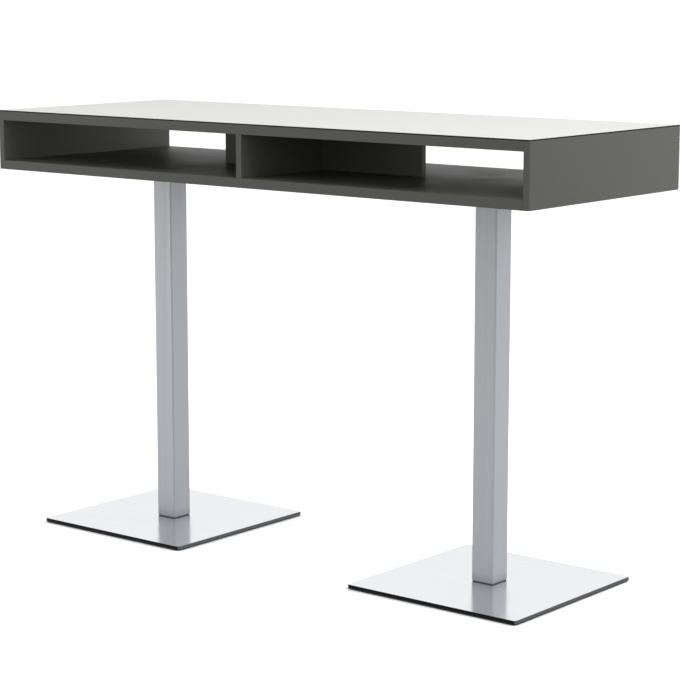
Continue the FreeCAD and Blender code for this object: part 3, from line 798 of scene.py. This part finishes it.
@dataclass
class WeldBead:
    """The fillet weld that joins one column to its head plate, under the powder coat."""

    rack: FinishRack
    side: Side
    leg: float = 4 * MM
    land: float = 0.3 * MM
    tube_corner: float = 4 * MM
    corner_steps: int = 6
    slope_steps: int = 4
    slope_profile: float = 0.4
    ripple_width: float = 1.1 * MM
    ripple_height: float = 0.4 * MM
    smooth_degrees: float = 60
    # Height of the unit normal below which a face counts as a wall
    wall_level: float = 0.5

    def outline(self, middle: Vector, half_tube: float) -> bpy.types.Object:
        """Lays a flat ring round the tube, on the underside of the head plate.

        Args:
            middle: The tube's axis, at the height of the head plate's underside.
            half_tube: Half the width of the tube.

        Returns:
            The ring, with rounded corners and cut across into narrow strips.
        """
        bpy.ops.object.select_all(action="DESELECT")
        bpy.ops.mesh.primitive_plane_add(size=2 * (half_tube + self.leg), location=middle)
        ring = bpy.context.object
        bpy.ops.object.transform_apply(location=True, rotation=True, scale=True)
        straight = 2 * (half_tube - self.tube_corner)
        with editing(ring) as mesh:
            bpy.ops.mesh.select_all(action="SELECT")
            bpy.ops.mesh.bevel(
                offset=self.tube_corner + self.leg, segments=self.corner_steps, affect="VERTICES")
            bpy.ops.mesh.select_all(action="SELECT")
            bpy.ops.mesh.inset(thickness=self.leg)
            bpy.ops.mesh.delete(type="FACE")
            select(mesh, Element.EDGE, lambda edge: edge.calc_length() > straight / 2)
            bpy.ops.mesh.subdivide(number_cuts=round(straight / self.ripple_width) - 1)
        return ring

    def build(self) -> bpy.types.Object:
        """Models the bead with its sloping, rippled face.

        Returns:
            The finished bead.
        """
        low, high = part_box(f"{self.side.value}_column")
        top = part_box(f"{self.side.value}_head_plate")[0].z
        half_tube = (high.x - low.x) / 2
        middle = Vector(((low.x + high.x) / 2, (low.y + high.y) / 2, top))
        straight_half = half_tube - self.tube_corner
        bead = self.outline(middle, half_tube)
        bead.name = bead.data.name = f"{self.side.value}_column_weld"

        def is_outer(edge: bmesh.types.BMEdge) -> bool:
            """Tells whether an edge is the outer rim of the lower face.

            Args:
                edge: An edge of the bead.

            Returns:
                True for an edge of the outer rim.
            """
            walls = [face for face in edge.link_faces if abs(face.normal.z) < self.wall_level]
            return lies_at(edge, top - self.leg) and len(walls) == 1 and (
                walls[0].normal.dot(walls[0].calc_center_median() - middle) > 0)

        def is_crest(corner: bmesh.types.BMVert) -> bool:
            """Tells whether a corner lies on the crest of a ripple, which is every second strip.

            Args:
                corner: A corner of the bead.

            Returns:
                True for a corner of a crest on the slope.
            """
            place = corner.co - middle
            reach = max(abs(place.x), abs(place.y)) - half_tube
            along = place.x if abs(place.y) > half_tube else place.y
            strip = round((along + straight_half) / self.ripple_width)
            on_slope = reach > self.land / 2 and place.z < -self.land / 2
            return on_slope and abs(along) <= straight_half + NEAR and strip % 2 == 1

        with editing(bead) as mesh:
            bpy.ops.mesh.select_all(action="SELECT")
            bpy.ops.mesh.extrude_region_move(TRANSFORM_OT_translate={"value": (0, 0, -self.leg)})
            bpy.ops.mesh.select_all(action="SELECT")
            bpy.ops.mesh.normals_make_consistent(inside=False)
            select(mesh, Element.EDGE, is_outer)
            bpy.ops.mesh.bevel(
                offset=self.leg - self.land, segments=self.slope_steps,
                profile=self.slope_profile, affect="EDGES")
            select(mesh, Element.CORNER, is_crest)
            bpy.ops.transform.shrink_fatten(value=self.ripple_height)
        bpy.ops.object.shade_smooth_by_angle(angle=math.radians(self.smooth_degrees))
        bead.data.materials.append(self.rack.by_slot["silver_coat"])
        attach(bead, "table")
        log.info("%s: %d faces", bead.name, len(bead.data.polygons))
        return bead


@dataclass
class GlidePads:
    """The eight nylon pads, with a fluted grip, a grooved sole and a snap-in seat for the stud."""

    rack: FinishRack
    nodes: dict[str, bpy.types.Object]
    suffix: str = "_glide_pad"
    sides: int = 96
    edge: float = 0.6 * MM
    edge_steps: int = 3
    seat_floor: float = 1.2 * MM
    lip_height: float = 0.45 * MM
    lip_radius: float = 6.5 * MM
    seat_radius: float = 7.08 * MM
    key_radius: float = 3 * MM
    groove_width: float = 1.2 * MM
    groove_depth: float = 0.5 * MM
    groove_radius: float = 12 * MM
    flute_share: float = 0.965
    sides_per_flute: int = 4
    smooth_degrees: float = 35

    def sink(self, depth: float) -> None:
        """Extrudes the selected face straight up or down.

        Args:
            depth: How far up, or down where it is negative.
        """
        bpy.ops.mesh.extrude_region_move(TRANSFORM_OT_translate={"value": (0, 0, depth)})

    def widen(self, share: float, height: float) -> None:
        """Scales what is selected about the pad's axis.

        Args:
            share: The factor along X and Y.
            height: The height of the centre of the scaling.
        """
        bpy.ops.transform.resize(value=(share, share, 1), center_override=(0, 0, height))

    def is_groove(self, face: bmesh.types.BMFace) -> bool:
        """Tells whether a face of the sole lies where the groove runs."""
        middle = face.calc_center_median()
        return abs(middle.z) < NEAR and (
            self.groove_radius - self.groove_width < middle.xy.length < self.groove_radius)

    def is_flute(self, corner: bmesh.types.BMVert, radius: float) -> bool:
        """Tells whether a corner lies in a flute of the grip.

        Args:
            corner: A corner of the pad.
            radius: The pad's radius.

        Returns:
            True for a corner of a flute.
        """
        turn = math.tau / self.sides
        step = round(math.atan2(corner.co.y, corner.co.x) / turn) % self.sides_per_flute
        return corner.co.xy.length > radius - 2 * self.edge and step < self.sides_per_flute / 2

    def model(self, radius: float, height: float) -> bpy.types.Object:
        """Models one pad on the world's own axis.

        Args:
            radius: The pad's radius.
            height: The pad's height.

        Returns:
            The pad, standing on the floor.
        """
        bpy.ops.object.select_all(action="DESELECT")
        bpy.ops.mesh.primitive_cylinder_add(
            vertices=self.sides, radius=radius, depth=height, location=(0, 0, height / 2))
        pad = bpy.context.object
        bpy.ops.object.transform_apply(location=True, rotation=True, scale=True)
        with editing(pad) as mesh:
            select(mesh, Element.FACE, lambda face: is_middle(face, height))
            bpy.ops.mesh.inset(thickness=radius - self.lip_radius)
            self.sink(-self.lip_height)
            self.sink(0)
            self.widen(self.seat_radius / self.lip_radius, height)
            self.sink(self.seat_floor + self.lip_height - height)
            bpy.ops.mesh.inset(thickness=self.seat_radius - self.key_radius)
        with editing(pad) as mesh:
            select(mesh, Element.FACE, lambda face: is_middle(face, 0))
            bpy.ops.mesh.inset(thickness=radius - self.groove_radius)
            bpy.ops.mesh.inset(thickness=self.groove_width)
            bpy.ops.mesh.inset(thickness=self.groove_radius - self.groove_width - self.key_radius)
            select(mesh, Element.FACE, self.is_groove)
            self.sink(self.groove_depth)
        with editing(pad) as mesh:
            select(mesh, Element.FACE, lambda face: is_middle(face, 0, self.seat_floor))
            bpy.ops.mesh.bridge_edge_loops()
        with editing(pad) as mesh:
            select(mesh, Element.EDGE, lambda edge: lies_at(edge, 0) and all(
                corner.co.xy.length > radius - NEAR for corner in edge.verts))
            bpy.ops.mesh.bevel(offset=self.edge, segments=self.edge_steps, affect="EDGES")
        with editing(pad) as mesh:
            select(mesh, Element.CORNER, lambda corner: self.is_flute(corner, radius))
            self.widen(self.flute_share, 0)
            bpy.ops.mesh.select_all(action="SELECT")
            bpy.ops.mesh.normals_make_consistent(inside=False)
        bpy.ops.object.shade_smooth_by_angle(angle=math.radians(self.smooth_degrees))
        pad.data.materials.append(self.rack.by_slot["nylon"])
        return pad

    def build(self) -> None:
        """Models one pad and sets a copy of it under each stud."""
        names = sorted(name for name in self.nodes if name.endswith(self.suffix))
        low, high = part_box(names[0])
        model = self.model((high.x - low.x) / 2, high.z - low.z)
        for name in names:
            low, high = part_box(name)
            bpy.ops.object.select_all(action="DESELECT")
            model.select_set(True)
            bpy.context.view_layer.objects.active = model
            bpy.ops.object.duplicate(linked=False)
            pad = bpy.context.object
            pad.location = ((low.x + high.x) / 2, (low.y + high.y) / 2, low.z)
            bpy.ops.object.transform_apply(location=True, rotation=True, scale=True)
            pad.name = pad.data.name = f"fluted_{name}"
            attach(pad, name)
            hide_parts(name)
            log.info("%s: %d faces", pad.name, len(pad.data.polygons))
        bpy.data.objects.remove(model)


@dataclass
class FrameNodes:
    """The construction model's own nodes, which stay as they are and get their finishes."""

    rack: FinishRack
    nodes: dict[str, bpy.types.Object]
    record: dict[str, Any]

    def dress(self) -> None:
        """Gives every node the finish of its slot in the record."""
        for part in self.record["subparts"]:
            piece = self.nodes[part["node"]]
            piece.data.materials.clear()
            piece.data.materials.append(self.rack.by_slot[part["material_slot"]])
            log.info("%s: %s", piece.name, part["material_slot"])


# Studio

@dataclass
class Camera:
    """A long lens in front of the table, to the right of it and above its top."""

    place: Vector = field(default_factory=lambda: Vector((3.362, -4.070, 1.398)))
    turn: float = 0.6824
    tilt_down: float = 0.1644
    focal_mm: float = 117.2
    sensor_mm: float = 36
    farthest: float = 200

    def build(self) -> None:
        """Adds the camera and makes it the scene's own."""
        # An unturned camera looks straight down, and a quarter turn brings it level
        lift = math.pi / 2 - self.tilt_down
        bpy.ops.object.camera_add(location=self.place, rotation=(lift, 0, self.turn))
        camera = bpy.context.object
        camera.data.sensor_width = self.sensor_mm
        camera.data.lens = self.focal_mm
        camera.data.clip_end = self.farthest
        bpy.context.scene.camera = camera


@dataclass(frozen=True)
class Softbox:
    """A square lamp with an even, soft face, which the camera doesn't see.

    Its place, the point that it faces and its side are in metres, and its power in watts. Only
    a mirrored one shows in polished faces.
    """

    name: str
    place: tuple[float, float, float]
    target: tuple[float, float, float]
    side: float
    watts: float
    mirrored: bool = True

    def build(self) -> None:
        """Hangs the lamp and turns it to its target."""
        place = Vector(self.place)
        bpy.ops.object.light_add(type="AREA", location=place)
        lamp = bpy.context.object
        lamp.name = self.name
        lamp.rotation_euler = (Vector(self.target) - place).to_track_quat("-Z", "Y").to_euler()
        lamp.data.shape = "SQUARE"
        lamp.data.size = self.side
        lamp.data.energy = self.watts
        lamp.visible_camera = False
        lamp.visible_glossy = self.mirrored


@dataclass
class Studio:
    """A white room: a pale floor, an even white world with one low opening, and five soft lamps.

    The floor is only seen. What it would throw back comes from the world below the horizon,
    so the underside of the table is lit too.
    """

    floor_side: float = 30
    # Well over white, so that only the contact shade under the plates is darker than white
    floor_shown: float = 1.6
    contact_reach: float = 0.018
    contact_samples: int = 8
    light_above: float = 0.72
    light_below: float = 0.38
    # What the polished plates throw back on the columns
    light_by_mirror: float = 0.2
    # How bright polished faces show the room below and above the horizon
    mirrored_below: float = 0.74
    mirrored_above: float = 1.0
    # Height of a unit direction within which the world above and below the horizon blend
    horizon_blur: float = 0.3
    # A bright opening low in the room, which only shows as a sheen on upright faces
    opening_direction: tuple[float, float, float] = (-0.76, -0.63, -0.1)
    opening_degrees: float = 9
    opening_shown: float = 4.5
    # A little over white, so that no grey speck is left where only the room shows
    room_shown: float = 1.04
    # Diffuse depth between that of a ray from the camera and that of one that lights a surface
    first_bounce: float = 0.5
    lamps: tuple[Softbox, ...] = (
        Softbox("window_softbox", (1.9, 1.6, 1.15), (0.5, 0.0, 0.75), 1.1, 27, mirrored=False),
        Softbox("left_softbox", (-2.0, -2.4, 1.05), (-0.4, 0.0, 0.9), 1.1, 17, mirrored=False),
        Softbox("front_softbox", (3.6, -2.4, 1.3), (0.0, 0.0, 0.8), 1.4, 12, mirrored=False),
        Softbox("top_softbox", (2.0, -1.0, 3.4), (0.3, 0.0, 1.0), 1.6, 26),
        Softbox("back_softbox", (1.0, 3.4, 1.1), (0.0, 0.0, 0.8), 1.8, 30, mirrored=False),
    )

    def build_world(self) -> None:
        """Makes a world that looks white and lights a little less than that."""
        world = bpy.data.worlds.new("white_room")
        bpy.context.scene.world = world
        world.use_nodes = True
        tree = world.node_tree
        tree.nodes.clear()
        path = add_node(tree, "ShaderNodeLightPath")
        where = add_node(tree, "ShaderNodeTexCoord").outputs["Generated"]
        direction = add_node(tree, "ShaderNodeSeparateXYZ", {"Vector": where})
        above = add_node(tree, "ShaderNodeMapRange", {
            "Value": direction.outputs["Z"],
            "From Min": -self.horizon_blur, "From Max": self.horizon_blur})
        light = add_node(tree, "ShaderNodeMix", {
            FACTOR: above.outputs["Result"], NUMBER_A: self.light_below,
            NUMBER_B: self.light_above}, data_type="FLOAT")
        walls = add_node(tree, "ShaderNodeMix", {
            FACTOR: above.outputs["Result"], NUMBER_A: self.mirrored_below,
            NUMBER_B: self.mirrored_above}, data_type="FLOAT")
        towards = add_node(tree, "ShaderNodeVectorMath", {
            TERM_A: where, TERM_B: Vector(self.opening_direction).normalized()},
            operation="DOT_PRODUCT")
        opening = add_node(tree, "ShaderNodeMapRange", {
            "Value": towards.outputs["Value"],
            "From Min": math.cos(math.radians(self.opening_degrees)), "From Max": 1.0,
            "To Max": self.opening_shown}, interpolation_type="SMOOTHSTEP")
        mirrored = add_node(tree, "ShaderNodeMath", {
            TERM_A: walls.outputs[MIXED_NUMBER], TERM_B: opening.outputs["Result"]},
            operation="ADD")
        bounced = add_node(tree, "ShaderNodeMath", {
            TERM_A: path.outputs["Diffuse Depth"], TERM_B: self.first_bounce},
            operation="GREATER_THAN")
        glossy = add_node(tree, "ShaderNodeMix", {
            FACTOR: bounced.outputs["Value"], NUMBER_A: mirrored.outputs["Value"],
            NUMBER_B: self.light_by_mirror}, data_type="FLOAT")
        lit_or_mirrored = add_node(tree, "ShaderNodeMix", {
            FACTOR: path.outputs["Is Glossy Ray"], NUMBER_A: light.outputs[MIXED_NUMBER],
            NUMBER_B: glossy.outputs[MIXED_NUMBER]}, data_type="FLOAT")
        seen = add_node(tree, "ShaderNodeMath", {
            TERM_A: path.outputs["Is Camera Ray"], TERM_B: path.outputs["Is Transmission Ray"]},
            operation="MAXIMUM")
        strength = add_node(tree, "ShaderNodeMix", {
            FACTOR: seen.outputs["Value"], NUMBER_A: lit_or_mirrored.outputs[MIXED_NUMBER],
            NUMBER_B: self.room_shown}, data_type="FLOAT")
        background = add_node(tree, "ShaderNodeBackground", {
            "Color": linear("#FFFFFF"), "Strength": strength.outputs[MIXED_NUMBER]})
        output = add_node(tree, "ShaderNodeOutputWorld")
        tree.links.new(background.outputs["Background"], output.inputs["Surface"])

    def build_floor(self) -> None:
        """Lays the floor, white in the open, dark under the plates and clear from underneath."""
        bpy.ops.object.select_all(action="DESELECT")
        bpy.ops.mesh.primitive_plane_add(size=self.floor_side)
        floor = bpy.context.object
        floor.name = "studio_floor"
        material = bpy.data.materials.new("pale_floor")
        material.use_nodes = True
        tree = material.node_tree
        tree.nodes.clear()
        shade = add_node(tree, "ShaderNodeAmbientOcclusion", {
            "Color": (self.floor_shown, self.floor_shown, self.floor_shown, 1.0),
            "Distance": self.contact_reach}, samples=self.contact_samples)
        paint = add_node(tree, "ShaderNodeBsdfDiffuse", {"Color": shade.outputs["Color"]})
        clear = add_node(tree, "ShaderNodeBsdfTransparent")
        side = add_node(tree, "ShaderNodeNewGeometry")
        both = add_node(tree, "ShaderNodeMixShader", {
            FACTOR: side.outputs["Backfacing"], SHADER_A: paint.outputs["BSDF"],
            SHADER_B: clear.outputs["BSDF"]})
        output = add_node(tree, "ShaderNodeOutputMaterial")
        tree.links.new(both.outputs["Shader"], output.inputs["Surface"])
        floor.data.materials.append(material)
        floor.visible_diffuse = False
        floor.visible_glossy = False
        floor.visible_transmission = False
        floor.visible_shadow = False

    def build(self) -> None:
        """Builds the whole studio."""
        bpy.context.scene.view_settings.view_transform = "Standard"
        self.build_world()
        self.build_floor()
        for lamp in self.lamps:
            lamp.build()


def main() -> None:
    """Dresses the table and sets up the studio."""
    logging.basicConfig(level=logging.INFO, format="%(message)s")
    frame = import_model()
    Camera().build()
    Studio().build()
    rack = FinishRack()
    FrameNodes(rack, frame["nodes"], frame["record"]).dress()
    TopSheet(rack).build()
    for side in Side:
        WeldBead(rack, side).build()
    GlidePads(rack, frame["nodes"]).build()


if __name__ == "__main__":
    main()
